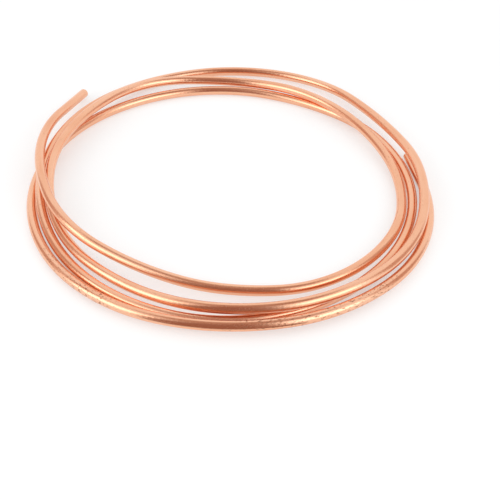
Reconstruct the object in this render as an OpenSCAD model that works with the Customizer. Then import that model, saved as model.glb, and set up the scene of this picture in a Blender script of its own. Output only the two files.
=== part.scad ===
/* [Pipe] */
// Outside diameter of the pipe, mm
pipe_od = 6.35; // [5:0.05:8]
// Wall of the pipe, mm
pipe_wall = 0.8; // [0.5:0.1:1.5]
// Straight length at the upper cut end, mm
upper_straight = 38; // [20:1:44]
// Straight length at the lower cut end, mm
lower_straight = 28; // [15:1:30]

/* [Coil] */
// Middle radius that the turns wander about, mm
coil_radius = 121; // [110:1:160]
// Air left between two turns that lie side by side, mm
turn_gap = 0.3; // [0.2:0.05:1]

/* [Hidden] */
bore_d = pipe_od - 2 * pipe_wall;
// One lane is the pitch of two turns that lie side by side
lane = pipe_od + turn_gap;
// Every second bend is leaner by a hair, 0.05 mm all round, and reaches into its neighbours,
// so that they join into one solid
seam_step = pipe_od / 64;
seam_lap = 0.5;
// How far the bore's cutter runs past each cut end
cut_past = 1;
copper = [0.85, 0.50, 0.36];
ring_facets = 96;
wall_facets = 24;
box_samples = 8;

// The lay of the coil, chosen by hand from the photo. Each group is one turn, anticlockwise
// from above, and each entry is one direction, every direction_step degrees on from
// first_direction. An entry says how many lanes the pipe lies out from the middle radius
// and how many lanes up from the floor.
first_direction = 150;
direction_step = 30;
lay = [
    [[2.3, 1.2], [-0.1, 2.3], [-1.6, 1.8], [-3.1, 0.8], [-2.7, 0.4], [-1.2, 0.4],
     [-0.8, 0.4], [-1.5, 0.3], [-2.3, 0.9], [-1.9, 1.0], [-0.7, 0.5], [0.3, 1.0]],
    [[-0.6, 1.6], [-1.0, 1.5], [-1.1, 0.5], [-1.0, 0.4], [0.1, 0.9], [1.1, 1.1],
     [1.3, 0.9], [0.6, 1.2], [0.2, 0.8], [1.7, 0.3], [2.1, 0.1], [1.7, 0.2]],
    [[0.4, 1.0], [-0.1, 0.9], [-0.1, 0.1], [0.3, 0.0], [0.7, 0.0], [0.5, 0.0],
     [0.2, 0.0], [-0.4, 0.0], [-1.3, 0.0], [-2.1, 0.0], [-1.8, 0.0], [-1.0, 0.0]],
    [[0.0, 0.0], [0.6, 0.0], [1.0, 0.0], [1.4, 0.3], [1.7, 0.5], [2.3, 0.5],
     [2.1, 0.1], [0.8, 0.0]]
];

// Points and tangents
function stand(direction, entry) =
    let (radius = coil_radius + entry[0] * lane)
    [radius * cos(direction), radius * sin(direction), entry[1] * lane];
points = [
    for (turn = [0:len(lay) - 1])
        for (k = [0:len(lay[turn]) - 1])
            stand(first_direction + 360 * turn + direction_step * k, lay[turn][k])
];
last = len(points) - 1;

function unit(v) = v / norm(v);
// The tangent at b of the circle through three points
function through(a, b, c) =
    unit((b - a) / ((b - a) * (b - a)) + (c - b) / ((c - b) * (c - b)));
// The tangent at the far end of an arc that leaves along t and spans the chord c
function mirrored(t, c) = unit(2 * (unit(c) * t) * unit(c) - t);
inner = [for (i = [1:last - 1]) through(points[i - 1], points[i], points[i + 1])];
tangents = concat(
    [mirrored(inner[0], points[1] - points[0])],
    inner,
    [mirrored(inner[last - 2], points[last] - points[last - 1])]
);

// Two arcs join each pair of points, and this is where they meet
function reach(v, t, k) = (sqrt((v * t) * (v * t) + k * (v * v)) - v * t) / k;
function meeting(p0, t0, p1, t1) =
    let (d = reach(p1 - p0, t0 + t1, 2 * (1 - t0 * t1)))
    (p0 + p1 + d * (t0 - t1)) / 2;

// An arc is its start, its starting tangent and its end
function arc_pair(i) =
    let (middle = meeting(points[i], tangents[i], points[i + 1], tangents[i + 1]))
    [
        [points[i], tangents[i], middle],
        [middle, mirrored(tangents[i], middle - points[i]), points[i + 1]]
    ];
arcs = [for (i = [0:last - 1]) for (arc = arc_pair(i)) arc];

function chord(arc) = arc[2] - arc[0];
function arc_side(arc) = unit(chord(arc) - (chord(arc) * arc[1]) * arc[1]);
function arc_radius(arc) = (chord(arc) * chord(arc)) / (2 * chord(arc) * arc_side(arc));
function arc_angle(arc) = 2 * asin(norm(chord(arc)) / (2 * arc_radius(arc)));
function arc_middle(arc) = arc[0] + arc_radius(arc) * arc_side(arc);
function arc_point(arc, angle) =
    arc_middle(arc)
    - arc_radius(arc) * cos(angle) * arc_side(arc)
    + arc_radius(arc) * sin(angle) * arc[1];

// The middles of the two cut faces
upper_end = points[0] - upper_straight * tangents[0];
lower_end = points[last] + lower_straight * tangents[last];

// The route's box, which sets the coil down on the floor about the origin
samples = [
    for (arc = arcs) for (k = [0:box_samples - 1]) arc_point(arc, arc_angle(arc) * k / box_samples)
];
route = concat([upper_end], samples, [lower_end]);
function column(axis) = [for (p = route) p[axis]];
function halfway(axis) = (min(column(axis)) + max(column(axis))) / 2;
set_down = [-halfway(0), -halfway(1), pipe_od / 2 - min(column(2))];

// Puts x away from the arc's middle and y along the pipe
module on_arc(arc) {
    side = arc_side(arc);
    along = arc[1];
    up = cross(along, side);
    middle = arc_middle(arc);
    multmatrix([
        [-side[0], along[0], up[0], middle[0]],
        [-side[1], along[1], up[1], middle[1]],
        [-side[2], along[2], up[2], middle[2]],
        [0, 0, 0, 1]
    ])
        children();
}

module bend(arc, diameter, lap) {
    radius = arc_radius(arc);
    extra = lap * 180 / (PI * radius);
    on_arc(arc)
        rotate([0, 0, -extra])
            rotate_extrude(angle = arc_angle(arc) + 2 * extra, $fn = ring_facets)
                translate([radius, 0])
                    circle(d = diameter, $fn = wall_facets);
}

// A straight run from a point along a direction
module straight(start, along, length, diameter) {
    translate(start)
        rotate([0, acos(along[2]), atan2(along[1], along[0])])
            cylinder(d = diameter, h = length, $fn = 2 * wall_facets);
}

// The whole run at one diameter, reaching past both cut ends by extra
module run(diameter, extra) {
    straight(
        upper_end - extra * tangents[0],
        tangents[0],
        upper_straight + extra,
        diameter
    );
    for (i = [0:len(arcs) - 1]) {
        lean = i % 2 == 0;
        bend(
            arcs[i],
            lean ? diameter - seam_step : diameter,
            lean ? seam_lap : 0
        );
    }
    straight(
        points[last] - seam_lap * tangents[last],
        tangents[last],
        lower_straight + extra + seam_lap,
        diameter - seam_step
    );
}

module copper_pipe() {
    color(copper)
        translate(set_down)
            difference() {
                run(pipe_od, 0);
                run(bore_d, cut_past);
            }
}

copper_pipe();
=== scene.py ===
# %% [markdown]
# # A loose coil of copper pipe
# The real thing is one length of soft copper pipe, drawn through a die and bent by hand into
# a loose coil that lies on a floor. Nothing holds the turns, so they wander, lie side by side
# and cross over each other. This notebook lays that pipe along its route, gives it a bright
# drawn copper finish and puts it in a plain studio.

import math

import bmesh
import bpy
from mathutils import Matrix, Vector


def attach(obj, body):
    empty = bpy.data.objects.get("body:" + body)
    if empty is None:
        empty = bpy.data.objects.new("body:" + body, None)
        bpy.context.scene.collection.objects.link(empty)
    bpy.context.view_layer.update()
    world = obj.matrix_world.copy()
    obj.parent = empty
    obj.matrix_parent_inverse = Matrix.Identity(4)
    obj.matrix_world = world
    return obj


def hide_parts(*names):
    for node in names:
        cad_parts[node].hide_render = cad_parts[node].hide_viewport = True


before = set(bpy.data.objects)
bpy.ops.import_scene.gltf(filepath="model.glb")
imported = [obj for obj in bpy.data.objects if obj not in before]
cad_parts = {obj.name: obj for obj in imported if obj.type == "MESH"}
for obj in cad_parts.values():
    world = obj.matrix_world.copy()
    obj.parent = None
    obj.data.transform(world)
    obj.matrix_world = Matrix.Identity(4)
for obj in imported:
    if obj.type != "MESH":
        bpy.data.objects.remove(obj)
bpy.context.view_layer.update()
MM = 0.001

# %% [markdown]
# ## Sizes
# The sizes are those of the part's source, in millimetres. A lane is the pitch of two turns
# that lie side by side: the pipe's diameter and a hair of air.

# %% Sizes of the pipe and the coil
PIPE_OD = 6.35
PIPE_WALL = 0.8
UPPER_STRAIGHT = 38
LOWER_STRAIGHT = 28
COIL_RADIUS = 121
TURN_GAP = 0.3
LANE = PIPE_OD + TURN_GAP
bore = PIPE_OD - 2 * PIPE_WALL
print("bore:", round(bore, 2), "mm, lane:", round(LANE, 2), "mm")

# %% [markdown]
# ## The lay of the coil
# A loose coil follows no formula, so its turns are set by a short chart, chosen from the
# photograph. Each group is one turn, each entry one direction, 30 degrees on from the
# last. The first number says how many lanes the pipe lies out from the middle radius, the
# second how many lanes up from the floor. This chart is the same as in the part's source.

# %% The chart and its points
FIRST_DIRECTION = 150
DIRECTION_STEP = 30
LAY = [
    [(2.3, 1.2), (-0.1, 2.3), (-1.6, 1.8), (-3.1, 0.8), (-2.7, 0.4), (-1.2, 0.4),
     (-0.8, 0.4), (-1.5, 0.3), (-2.3, 0.9), (-1.9, 1.0), (-0.7, 0.5), (0.3, 1.0)],
    [(-0.6, 1.6), (-1.0, 1.5), (-1.1, 0.5), (-1.0, 0.4), (0.1, 0.9), (1.1, 1.1),
     (1.3, 0.9), (0.6, 1.2), (0.2, 0.8), (1.7, 0.3), (2.1, 0.1), (1.7, 0.2)],
    [(0.4, 1.0), (-0.1, 0.9), (-0.1, 0.1), (0.3, 0.0), (0.7, 0.0), (0.5, 0.0),
     (0.2, 0.0), (-0.4, 0.0), (-1.3, 0.0), (-2.1, 0.0), (-1.8, 0.0), (-1.0, 0.0)],
    [(0.0, 0.0), (0.6, 0.0), (1.0, 0.0), (1.4, 0.3), (1.7, 0.5), (2.3, 0.5),
     (2.1, 0.1), (0.8, 0.0)],
]


def stand(place, out, up):
    """The point of one chart entry, counted from the first."""
    direction = math.radians(FIRST_DIRECTION + DIRECTION_STEP * place)
    radius = COIL_RADIUS + out * LANE
    return Vector((radius * math.cos(direction), radius * math.sin(direction), up * LANE))


entries = [entry for turn in LAY for entry in turn]
stations = [stand(place, *entry) for place, entry in enumerate(entries)]
print("chart entries:", len(stations))

# %% [markdown]
# ## From chart to route
# A pipe bent by hand is a chain of arcs that run smoothly into each other. Two arcs join each
# pair of points: they share a tangent where they meet, which is a construction that
# draughtsmen call a biarc. A spline would also pass through the points, but its bends are
# harder to keep round, and the part's source uses the same arcs.

# %% Arcs through the points


def tangent_through(before, here, after):
    """The tangent at the middle one of three points, on the circle through them."""
    v0 = here - before
    v1 = after - here
    return (v0 / v0.dot(v0) + v1 / v1.dot(v1)).normalized()


def mirrored(tangent, chord):
    """The tangent at the far end of an arc that leaves along tangent and spans chord."""
    unit = chord.normalized()
    return (2 * unit.dot(tangent) * unit - tangent).normalized()


def meeting(p0, t0, p1, t1):
    """Where the two arcs between p0 and p1 meet."""
    v = p1 - p0
    t = t0 + t1
    k = 2 * (1 - t0.dot(t1))
    reach = (math.sqrt(v.dot(t) ** 2 + k * v.dot(v)) - v.dot(t)) / k
    return (p0 + p1 + reach * (t0 - t1)) / 2


def arc_points(start, tangent, end, count):
    """Points along one arc, from its start up to but not at its end."""
    chord = end - start
    side = (chord - chord.dot(tangent) * tangent).normalized()
    radius = chord.dot(chord) / (2 * chord.dot(side))
    angle = 2 * math.asin(chord.length / (2 * radius))
    middle = start + radius * side
    steps = [angle * i / count for i in range(count)]
    return [middle + radius * (math.sin(a) * tangent - math.cos(a) * side) for a in steps]


inner = [tangent_through(*stations[i - 1:i + 2]) for i in range(1, len(stations) - 1)]
first = mirrored(inner[0], stations[1] - stations[0])
final = mirrored(inner[-1], stations[-1] - stations[-2])
tangents = [first, *inner, final]

# %% The whole route, from the upper cut end to the lower one
ARC_STEPS = 10
END_STEPS = 8


def bend_points(i):
    """The two arcs from one station to the next."""
    middle = meeting(stations[i], tangents[i], stations[i + 1], tangents[i + 1])
    turned = mirrored(tangents[i], middle - stations[i])
    near = arc_points(stations[i], tangents[i], middle, ARC_STEPS)
    far = arc_points(middle, turned, stations[i + 1], ARC_STEPS)
    return near + far


def straight_points(start, along, length):
    """Even steps along a straight end, both of its ends included."""
    return [start + along * length * i / END_STEPS for i in range(END_STEPS + 1)]


upper_tip = stations[0] - tangents[0] * UPPER_STRAIGHT
route = straight_points(upper_tip, tangents[0], UPPER_STRAIGHT)[:-1]
for i in range(len(stations) - 1):
    route += bend_points(i)
route += straight_points(stations[-1], tangents[-1], LOWER_STRAIGHT)


def halfway(axis):
    """The middle of the route's box along one axis."""
    values = [p[axis] for p in route]
    return (min(values) + max(values)) / 2


lowest = min(p.z for p in route)
set_down = Vector((-halfway(0), -halfway(1), PIPE_OD / 2 - lowest))
route = [(p + set_down) * MM for p in route]
pipe_length = sum((b - a).length for a, b in zip(route, route[1:]))
print("route points:", len(route), "length:", round(pipe_length, 4), "m")

# %% [markdown]
# ## Drawing the pipe along its route
# The pipe is the same all along, so a small Geometry Nodes tree draws it: one circle swept for
# the outside and a smaller one for the bore. A curve object with a bevel would give the
# outside only. The tree also notes, on every point, where it sits on the skin of a straight
# pipe: across in x and y, and along in z, in metres. The finish is drawn in those
# coordinates, so that its fine lines follow the pipe round every bend.

# %% The tree that sweeps a pipe
OUTER_SIDES = 48
BORE_SIDES = 24


def add(tree, kind, **settings):
    """A new node with its settings."""
    node = tree.nodes.new(kind)
    for name, value in settings.items():
        setattr(node, name, value)
    return node


def store(tree, geometry, value, name, data_type):
    """Writes a value on every point under a name, and returns the geometry with it."""
    note = add(tree, "GeometryNodeStoreNamedAttribute", data_type=data_type, domain="POINT")
    note.inputs["Name"].default_value = name
    tree.links.new(geometry, note.inputs["Geometry"])
    tree.links.new(value, note.inputs["Value"])
    return note.outputs["Geometry"]


def circle_profile(tree, radius, sides):
    """A circle that knows, at each point, its own place across the pipe."""
    circle = add(tree, "GeometryNodeCurvePrimitiveCircle", mode="RADIUS")
    tree.links.new(sides, circle.inputs["Resolution"])
    tree.links.new(radius, circle.inputs["Radius"])
    place = add(tree, "GeometryNodeInputPosition")
    return store(tree, circle.outputs["Curve"], place.outputs["Position"], "across", "FLOAT_VECTOR")


def sweep(tree, route_curve, profile):
    """The surface of a profile drawn along the route."""
    surface = add(tree, "GeometryNodeCurveToMesh")
    tree.links.new(route_curve, surface.inputs["Curve"])
    tree.links.new(profile, surface.inputs["Profile Curve"])
    return surface.outputs["Mesh"]


def named_value(tree, name, data_type):
    """Reads a named attribute."""
    node = add(tree, "GeometryNodeInputNamedAttribute", data_type=data_type)
    node.inputs["Name"].default_value = name
    return node.outputs["Attribute"]


def skin_place(tree):
    """Across in x and y, along in z."""
    across = add(tree, "ShaderNodeSeparateXYZ")
    tree.links.new(named_value(tree, "across", "FLOAT_VECTOR"), across.inputs["Vector"])
    place = add(tree, "ShaderNodeCombineXYZ")
    tree.links.new(across.outputs["X"], place.inputs["X"])
    tree.links.new(across.outputs["Y"], place.inputs["Y"])
    tree.links.new(named_value(tree, "along", "FLOAT"), place.inputs["Z"])
    return place.outputs["Vector"]


def pipe_tree():
    """Sweeps the outside and the bore of a pipe along a chain of edges."""
    tree = bpy.data.node_groups.new("Pipe along a route", "GeometryNodeTree")
    sockets = (
        ("Route", "NodeSocketGeometry"),
        ("Outside radius", "NodeSocketFloat"),
        ("Bore radius", "NodeSocketFloat"),
        ("Outside sides", "NodeSocketInt"),
        ("Bore sides", "NodeSocketInt"),
        ("Finish", "NodeSocketMaterial"),
    )
    for name, kind in sockets:
        tree.interface.new_socket(name=name, in_out="INPUT", socket_type=kind)
    tree.interface.new_socket(name="Pipe", in_out="OUTPUT", socket_type="NodeSocketGeometry")
    given = add(tree, "NodeGroupInput").outputs
    curve = add(tree, "GeometryNodeMeshToCurve")
    tree.links.new(given["Route"], curve.inputs["Mesh"])
    upright = add(tree, "GeometryNodeSetCurveNormal", mode="Z_UP")
    tree.links.new(curve.outputs["Curve"], upright.inputs["Curve"])
    step = add(tree, "GeometryNodeSplineParameter")
    line = store(tree, upright.outputs["Curve"], step.outputs["Length"], "along", "FLOAT")
    outside = sweep(tree, line, circle_profile(tree, given["Outside radius"], given["Outside sides"]))
    inside = sweep(tree, line, circle_profile(tree, given["Bore radius"], given["Bore sides"]))
    turned = add(tree, "GeometryNodeFlipFaces")
    tree.links.new(inside, turned.inputs["Mesh"])
    both = add(tree, "GeometryNodeJoinGeometry")
    tree.links.new(outside, both.inputs["Geometry"])
    tree.links.new(turned.outputs["Mesh"], both.inputs["Geometry"])
    noted = store(tree, both.outputs["Geometry"], skin_place(tree), "skin", "FLOAT_VECTOR")
    real = add(tree, "GeometryNodeRealizeInstances")
    tree.links.new(noted, real.inputs["Geometry"])
    finish = add(tree, "GeometryNodeSetMaterial")
    tree.links.new(real.outputs["Geometry"], finish.inputs["Geometry"])
    tree.links.new(given["Finish"], finish.inputs["Material"])
    result = add(tree, "NodeGroupOutput")
    tree.links.new(finish.outputs["Geometry"], result.inputs["Pipe"])
    return tree


tree = pipe_tree()
print("tree:", tree.name, "nodes:", len(tree.nodes))

# %% [markdown]
# ## The bright copper finish
# New copper tube is bare metal. Its colour is that of its reflection, so it gets a full
# metallic shader and a copper tint. The die leaves faint lines along the pipe, the metal is
# a little uneven in tone where it has begun to tarnish, and handling leaves specks and
# small dull marks. All of it is drawn in the skin's own coordinates. A plain noise in space
# would cut across the bends.

# %% Helpers for the finish
LINES_ACROSS = 2600
LINES_ALONG = 14
TONE_ACROSS = 160
TONE_ALONG = 22
FLECKS_ACROSS = 1500
FLECKS_ALONG = 520


def skin(tree):
    """The skin coordinates that the sweep wrote on the pipe."""
    return add(tree, "ShaderNodeAttribute", attribute_name="skin").outputs["Vector"]


def stretched(tree, across, along):
    """Skin coordinates scaled one way across the pipe and another way along it."""
    mapping = add(tree, "ShaderNodeMapping")
    mapping.inputs["Scale"].default_value = (across, across, along)
    tree.links.new(skin(tree), mapping.inputs["Vector"])
    return mapping.outputs["Vector"]


def noise(tree, across, along, detail, roughness):
    """Noise with its own scale across and along the pipe, from 0 to 1."""
    node = add(tree, "ShaderNodeTexNoise")
    node.inputs["Scale"].default_value = 1
    node.inputs["Detail"].default_value = detail
    node.inputs["Roughness"].default_value = roughness
    tree.links.new(stretched(tree, across, along), node.inputs["Vector"])
    return node.outputs["Fac"]


def ramp(tree, value, *stops):
    """A colour ramp through (place, colour) stops."""
    node = add(tree, "ShaderNodeValToRGB")
    tree.links.new(value, node.inputs["Fac"])
    elements = node.color_ramp.elements
    while len(elements) < len(stops):
        elements.new(1)
    for element, (place, colour) in zip(elements, stops):
        element.position = place
        element.color = (*colour, 1)
    return node.outputs["Color"]


def between(tree, value, low, high):
    """Maps 0 to 1 onto low to high."""
    node = add(tree, "ShaderNodeMapRange")
    node.inputs["To Min"].default_value = low
    node.inputs["To Max"].default_value = high
    tree.links.new(value, node.inputs["Value"])
    return node.outputs["Result"]


def combined(tree, operation, one, two):
    """Two values through one sum."""
    node = add(tree, "ShaderNodeMath", operation=operation)
    tree.links.new(one, node.inputs[0])
    if isinstance(two, (int, float)):
        node.inputs[1].default_value = two
    else:
        tree.links.new(two, node.inputs[1])
    return node.outputs["Value"]


def bumped(tree, height, strength, distance, under=None):
    """A bump from a height, over another bump if one is given."""
    node = add(tree, "ShaderNodeBump")
    node.inputs["Strength"].default_value = strength
    node.inputs["Distance"].default_value = distance
    tree.links.new(height, node.inputs["Height"])
    if under is not None:
        tree.links.new(under, node.inputs["Normal"])
    return node.outputs["Normal"]


def metal(name):
    """An empty metal material and its shader."""
    material = bpy.data.materials.new(name)
    material.use_nodes = True
    shader = material.node_tree.nodes["Principled BSDF"]
    shader.inputs["Metallic"].default_value = 1
    return material, shader


# %% Drawn copper
COPPER_LIGHT = (0.95, 0.55, 0.37)
COPPER_FULL = (0.92, 0.50, 0.32)
COPPER_DEEP = (0.86, 0.42, 0.25)
FLECK_TONE = (0.42, 0.19, 0.11)


def marked_stretch(tree, start, end, fade):
    """1 on a stretch of the pipe, from start to end in metres along it, and 0 elsewhere."""
    along = add(tree, "ShaderNodeSeparateXYZ")
    tree.links.new(skin(tree), along.inputs["Vector"])
    rise = add(tree, "ShaderNodeMapRange", interpolation_type="SMOOTHSTEP")
    rise.inputs["From Min"].default_value = start - fade
    rise.inputs["From Max"].default_value = start
    fall = add(tree, "ShaderNodeMapRange", interpolation_type="SMOOTHSTEP")
    fall.inputs["From Min"].default_value = end + fade
    fall.inputs["From Max"].default_value = end
    tree.links.new(along.outputs["Z"], rise.inputs["Value"])
    tree.links.new(along.outputs["Z"], fall.inputs["Value"])
    return combined(tree, "MULTIPLY", rise.outputs["Result"], fall.outputs["Result"])


def drawn_copper(stretches):
    """Bright copper with die lines, an uneven tone and flecks, thicker on the given stretches."""
    material, shader = metal("bright drawn copper")
    tree = material.node_tree
    tone = noise(tree, TONE_ACROSS, TONE_ALONG, 4, 0.55)
    stops = ((0.3, COPPER_DEEP), (0.5, COPPER_FULL), (0.68, COPPER_LIGHT))
    colour = ramp(tree, tone, *stops)
    lines = noise(tree, LINES_ACROSS, LINES_ALONG, 3, 0.6)
    flecks = noise(tree, FLECKS_ACROSS, FLECKS_ALONG, 2, 0.5)
    handled = None
    for start, end in stretches:
        stretch = marked_stretch(tree, start, end, 0.02)
        handled = stretch if handled is None else combined(tree, "MAXIMUM", handled, stretch)
    level = between(tree, handled, 0.0, 0.11)
    fleck_edge = combined(tree, "ADD", flecks, level)
    mask = ramp(tree, fleck_edge, (0.70, (0, 0, 0)), (0.76, (1, 1, 1)))
    mix = add(tree, "ShaderNodeMix", data_type="RGBA", blend_type="MIX")
    mix.inputs["B"].default_value = (*FLECK_TONE, 1)
    tree.links.new(mask, mix.inputs["Factor"])
    tree.links.new(colour, mix.inputs["A"])
    tree.links.new(mix.outputs["Result"], shader.inputs["Base Color"])
    dull = combined(tree, "MULTIPLY", mask, 0.22)
    gloss = combined(tree, "ADD", between(tree, tone, 0.14, 0.30), dull)
    tree.links.new(gloss, shader.inputs["Roughness"])
    waves = noise(tree, 240, 30, 2, 0.5)
    soft = bumped(tree, waves, 0.25, 0.0002)
    tree.links.new(bumped(tree, lines, 0.5, 0.00004, soft), shader.inputs["Normal"])
    return material


def cut_copper():
    """The sawn face of a cut end: paler, duller and with fine saw lines across it."""
    material, shader = metal("sawn copper face")
    tree = material.node_tree
    place = add(tree, "ShaderNodeTexCoord").outputs["Object"]
    lines = add(tree, "ShaderNodeTexWave", wave_type="BANDS", bands_direction="DIAGONAL")
    lines.inputs["Scale"].default_value = 900
    lines.inputs["Distortion"].default_value = 1.5
    tree.links.new(place, lines.inputs["Vector"])
    colour = ramp(tree, lines.outputs["Fac"], (0.2, COPPER_DEEP), (0.8, COPPER_LIGHT))
    tree.links.new(colour, shader.inputs["Base Color"])
    tree.links.new(between(tree, lines.outputs["Fac"], 0.3, 0.45), shader.inputs["Roughness"])
    normal = bumped(tree, lines.outputs["Fac"], 0.3, 0.00005)
    tree.links.new(normal, shader.inputs["Normal"])
    return material


def length_at(direction):
    """How far along the pipe, in metres, it passes a direction of the chart, in degrees."""
    start = END_STEPS
    place = (direction - FIRST_DIRECTION) / DIRECTION_STEP
    index = start + round(place * 2 * ARC_STEPS)
    return sum((b - a).length for a, b in zip(route[:index], route[1:index + 1]))


handled_stretches = [
    (length_at(1298), length_at(1318)),
    (length_at(1356), length_at(1392)),
]
copper = drawn_copper(handled_stretches)
sawn = cut_copper()
print("handled stretches:", [tuple(round(x, 3) for x in s) for s in handled_stretches])

# %% [markdown]
# ## Making the pipe
# The route becomes a chain of edges, the tree sweeps it, and the result is kept as a plain
# mesh. The sweep leaves the two ends open, between the outside and the bore. Each is closed
# with a ring, and the ring's two edges are broken by a small bevel, as a deburred cut is.

# %% Sweep the pipe
END_BREAK = 0.12


def chain(points):
    """A mesh of edges through the points."""
    mesh = bpy.data.meshes.new("pipe route")
    edges = [(i, i + 1) for i in range(len(points) - 1)]
    mesh.from_pydata(points, edges, [])
    return mesh


def sweep_pipe(points, finish):
    """Runs the tree over the route and returns a plain mesh."""
    carrier = bpy.data.objects.new("pipe route", chain(points))
    bpy.context.scene.collection.objects.link(carrier)
    modifier = carrier.modifiers.new("sweep", "NODES")
    modifier.node_group = tree
    values = {
        "Outside radius": PIPE_OD / 2 * MM,
        "Bore radius": bore / 2 * MM,
        "Outside sides": OUTER_SIDES,
        "Bore sides": BORE_SIDES,
        "Finish": finish,
    }
    for item in tree.interface.items_tree:
        if item.name in values:
            modifier[item.identifier] = values[item.name]
    evaluated = carrier.evaluated_get(bpy.context.evaluated_depsgraph_get())
    mesh = bpy.data.meshes.new_from_object(evaluated)
    carrier.modifiers.remove(modifier)
    bpy.data.objects.remove(carrier)
    return mesh


pipe_mesh = sweep_pipe(route, copper)
print("swept:", len(pipe_mesh.vertices), "points,", len(pipe_mesh.polygons), "faces")

# %% Close the two cut ends


def open_rims(bm):
    """The loops of edges that border one face only."""
    left = {e for e in bm.edges if e.is_boundary}
    rims = []
    while left:
        rim = {left.pop()}
        grown = set(rim)
        while grown:
            near = {e for g in grown for v in g.verts for e in v.link_edges if e in left}
            left -= near
            rim |= near
            grown = near
        rims.append(rim)
    return rims


def rim_middle(rim):
    """The middle of a loop of edges."""
    points = [v.co for e in rim for v in e.verts]
    return sum(points, Vector()) / len(points)


def close_end(bm, rims, tip):
    """Bridges the outside's rim to the bore's rim at one tip and returns the ring's faces."""
    reach = PIPE_OD * MM
    here = [rim for rim in rims if (rim_middle(rim) - tip).length < reach]
    edges = [e for rim in here for e in rim]
    return bmesh.ops.bridge_loops(bm, edges=edges)["faces"]


bm = bmesh.new()
bm.from_mesh(pipe_mesh)
rims = open_rims(bm)
rim_edges = [e for rim in rims for e in rim]
for tip in (route[0], route[-1]):
    for face in close_end(bm, rims, tip):
        face.material_index = 1
bmesh.ops.bevel(
    bm,
    geom=rim_edges,
    offset=END_BREAK * MM,
    segments=2,
    profile=0.5,
    affect="EDGES",
)
bmesh.ops.recalc_face_normals(bm, faces=bm.faces)
volume = bm.calc_volume(signed=True)
open_edges = sum(1 for e in bm.edges if not e.is_manifold)
bm.to_mesh(pipe_mesh)
bm.free()
for face in pipe_mesh.polygons:
    face.use_smooth = face.material_index == 0
pipe_mesh.materials.clear()
pipe_mesh.materials.append(copper)
pipe_mesh.materials.append(sawn)
print("open edges:", open_edges, "copper volume:", round(volume * 1e6, 2), "cm3")

# %% Place the pipe
pipe = bpy.data.objects.new("copper_pipe_drawn", pipe_mesh)
bpy.context.scene.collection.objects.link(pipe)
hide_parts("copper_pipe")
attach(pipe, "root")
print("triangles:", sum(len(p.vertices) - 2 for p in pipe_mesh.polygons))

# %% [markdown]
# ## The studio
# Bare metal shows what stands round it, so the studio does half of the finish. The floor and
# the room are white. Cards stand round the coil at a little over a metre, as a photographer
# sets them: a dim one on the camera's side, which draws the brown band down every turn that
# faces the lens, two narrower ones to the left and right, and a dim ceiling. Only
# reflections see the cards, so they take no light from the floor.

# %% Floor and room
FLOOR_SIZE = 6
FLOOR_TONE = (0.6, 0.6, 0.6)
FLOOR_LIFT = 0.45
ROOM_LIGHT = 0.85


def shown_to_eye_and_mirrors(tree):
    """1 for rays that come from the lens, a mirror or glass, and 0 for soft light."""
    path = add(tree, "ShaderNodeLightPath").outputs
    seen = combined(tree, "MAXIMUM", path["Is Camera Ray"], path["Is Glossy Ray"])
    return combined(tree, "MAXIMUM", seen, path["Is Transmission Ray"])


def pale_floor():
    """A matt floor that reads as white to the lens and keeps the shadow."""
    material = bpy.data.materials.new("pale floor")
    material.use_nodes = True
    tree = material.node_tree
    shader = tree.nodes["Principled BSDF"]
    shader.inputs["Base Color"].default_value = (*FLOOR_TONE, 1)
    shader.inputs["Roughness"].default_value = 0.9
    shader.inputs["Specular IOR Level"].default_value = 0
    shader.inputs["Emission Color"].default_value = (1, 1, 1, 1)
    lift = combined(tree, "MULTIPLY", shown_to_eye_and_mirrors(tree), FLOOR_LIFT)
    tree.links.new(lift, shader.inputs["Emission Strength"])
    return material


def staged(name, points, faces, material):
    """A piece of the studio, which isn't part of the object."""
    mesh = bpy.data.meshes.new(name)
    mesh.from_pydata(points, [], faces)
    mesh.materials.append(material)
    piece = bpy.data.objects.new(name, mesh)
    bpy.context.scene.collection.objects.link(piece)
    return piece


half = FLOOR_SIZE / 2
corners = [(-half, -half, 0), (half, -half, 0), (half, half, 0), (-half, half, 0)]
floor = staged("floor", corners, [(0, 1, 2, 3)], pale_floor())

world = bpy.data.worlds.new("pale room")
bpy.context.scene.world = world
world.use_nodes = True
background = world.node_tree.nodes["Background"]
background.inputs["Color"].default_value = (1, 1, 1, 1)
seen = shown_to_eye_and_mirrors(world.node_tree)
light = between(world.node_tree, seen, ROOM_LIGHT, 1)
world.node_tree.links.new(light, background.inputs["Strength"])
print("floor:", FLOOR_SIZE, "m, room light:", ROOM_LIGHT)

# %% Cards round the coil
CARD_DISTANCE = 1.3
CARD_STEP = math.radians(4)
DIM_WARM = (0.34, 0.19, 0.15)
HALF_WARM = (0.62, 0.42, 0.35)
CEILING = (0.50, 0.33, 0.27)

# Directions and heights in degrees: from, to, lowest, highest
CARDS = (
    ("dim card in front", 230, 286, 0, 80, DIM_WARM),
    ("half card on the left", 150, 180, 0, 55, HALF_WARM),
    ("half card on the right", 350, 382, 0, 48, HALF_WARM),
    ("dim ceiling", 0, 360, 66, 90, CEILING),
)


def steps_between(start, end):
    """Angles in radians from start to end in degrees, both included."""
    start, end = math.radians(start), math.radians(end)
    count = max(1, round((end - start) / CARD_STEP))
    return [start + (end - start) * i / count for i in range(count + 1)]


def grid_faces(rows, columns):
    """The squares of a grid of points that is stored row by row."""
    return [
        (corner, corner + 1, corner + columns + 1, corner + columns)
        for row in range(rows - 1)
        for corner in range(row * columns, row * columns + columns - 1)
    ]


def glow(name, tone):
    """A plain tone that doesn't depend on the lamps."""
    material = bpy.data.materials.new(name)
    material.use_nodes = True
    tree = material.node_tree
    tree.nodes.clear()
    light = add(tree, "ShaderNodeEmission")
    light.inputs["Color"].default_value = (*tone, 1)
    result = add(tree, "ShaderNodeOutputMaterial")
    tree.links.new(light.outputs["Emission"], result.inputs["Surface"])
    return material


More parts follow.
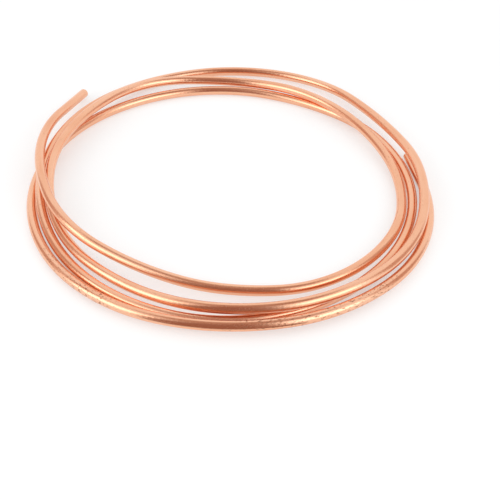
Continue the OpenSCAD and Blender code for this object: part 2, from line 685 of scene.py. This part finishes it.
def for_reflections_only(piece):
    """Hides a card from the lens and from soft light."""
    piece.visible_camera = False
    piece.visible_diffuse = False
    piece.visible_shadow = False
    piece.visible_transmission = False


def card(name, start, end, low, high, tone):
    """A curved card at an even distance from the coil."""
    turns = steps_between(start, end)
    lifts = steps_between(low, high)
    points = [
        (
            CARD_DISTANCE * math.cos(lift) * math.cos(turn),
            CARD_DISTANCE * math.cos(lift) * math.sin(turn),
            CARD_DISTANCE * math.sin(lift),
        )
        for lift in lifts
        for turn in turns
    ]
    piece = staged(name, points, grid_faces(len(lifts), len(turns)), glow(name, tone))
    for_reflections_only(piece)
    return piece


cards = [card(*settings) for settings in CARDS]
print("cards:", [piece.name for piece in cards])

# %% Painted dark reflection of the floor in front
STRIP_NEAR = 0.15
STRIP_LIFT = 0.0005


def painted_floor_reflection(name, start, end, near, far, tone):
    """A painted dark reflection: a dim sheet over the floor in front, as far as the front card."""
    turns = steps_between(start, end)
    points = [
        (distance * math.cos(turn), distance * math.sin(turn), STRIP_LIFT)
        for distance in (near, far)
        for turn in turns
    ]
    piece = staged(name, points, grid_faces(2, len(turns)), glow(name, tone))
    for_reflections_only(piece)
    return piece


# The copper sees a painted dark reflection of the floor in front, while the lens sees the floor
# white.
strip = painted_floor_reflection("painted dark floor reflection", 246, 290, STRIP_NEAR, CARD_DISTANCE, DIM_WARM)

# %% Lamps
LAMP_SIZE = 0.8
LAMP_DISTANCE = 1.25
LAMP_WATTS = 2.6
LAMPS = (("front left softbox", 204, 28), ("front right softbox", 314, 28))


def softbox(name, direction, lift):
    """A square lamp that faces the coil from a direction and a height, both in degrees."""
    lamp = bpy.data.lights.new(name, "AREA")
    lamp.shape = "SQUARE"
    lamp.size = LAMP_SIZE
    lamp.energy = LAMP_WATTS
    turn, lift = math.radians(direction), math.radians(lift)
    flat = math.cos(lift)
    towards = Vector((flat * math.cos(turn), flat * math.sin(turn), math.sin(lift)))
    holder = bpy.data.objects.new(name, lamp)
    holder.location = towards * LAMP_DISTANCE
    holder.rotation_euler = (-towards).to_track_quat("-Z", "Y").to_euler()
    bpy.context.scene.collection.objects.link(holder)
    return holder


lamps = [softbox(*settings) for settings in LAMPS]
print("lamps:", [lamp.name for lamp in lamps])

# %% [markdown]
# ## The camera
# The picture is 500 pixels wide. The camera looks down on the coil at about 42 degrees, from
# 0.6 m away, through a lens of about 66 mm on a 36 mm sensor. The coil isn't in the middle
# of the picture: its middle is seen up and to the left of it, so the camera is moved aside
# by as much, with no turn and no shift.

# %% Camera
PICTURE = 500
LOOK_DOWN = math.radians(42.2)
FOCAL_PIXELS = 914
SENSOR = 36
DISTANCE = 0.6
COIL_MIDDLE_SEEN = (227.5, 184.8)
FIT_LIFT = 0.17

look = Vector((0, math.cos(LOOK_DOWN), -math.sin(LOOK_DOWN)))
right = Vector((1, 0, 0))
up = right.cross(look)
aside = (COIL_MIDDLE_SEEN[0] - PICTURE / 2) / FOCAL_PIXELS
above = (PICTURE / 2 - COIL_MIDDLE_SEEN[1]) / FOCAL_PIXELS
coil_middle = Vector((set_down.x, set_down.y, FIT_LIFT)) * MM
eye = coil_middle - (look + aside * right + above * up) * DISTANCE

lens = bpy.data.cameras.new("camera")
lens.sensor_fit = "HORIZONTAL"
lens.sensor_width = SENSOR
lens.lens = FOCAL_PIXELS / PICTURE * SENSOR
camera = bpy.data.objects.new("camera", lens)
camera.location = eye
camera.rotation_euler = (math.pi / 2 - LOOK_DOWN, 0, 0)
bpy.context.scene.collection.objects.link(camera)
bpy.context.scene.camera = camera
bpy.context.scene.view_settings.view_transform = "Standard"
print("camera at:", [round(x, 3) for x in eye], "lens:", round(lens.lens, 2), "mm")
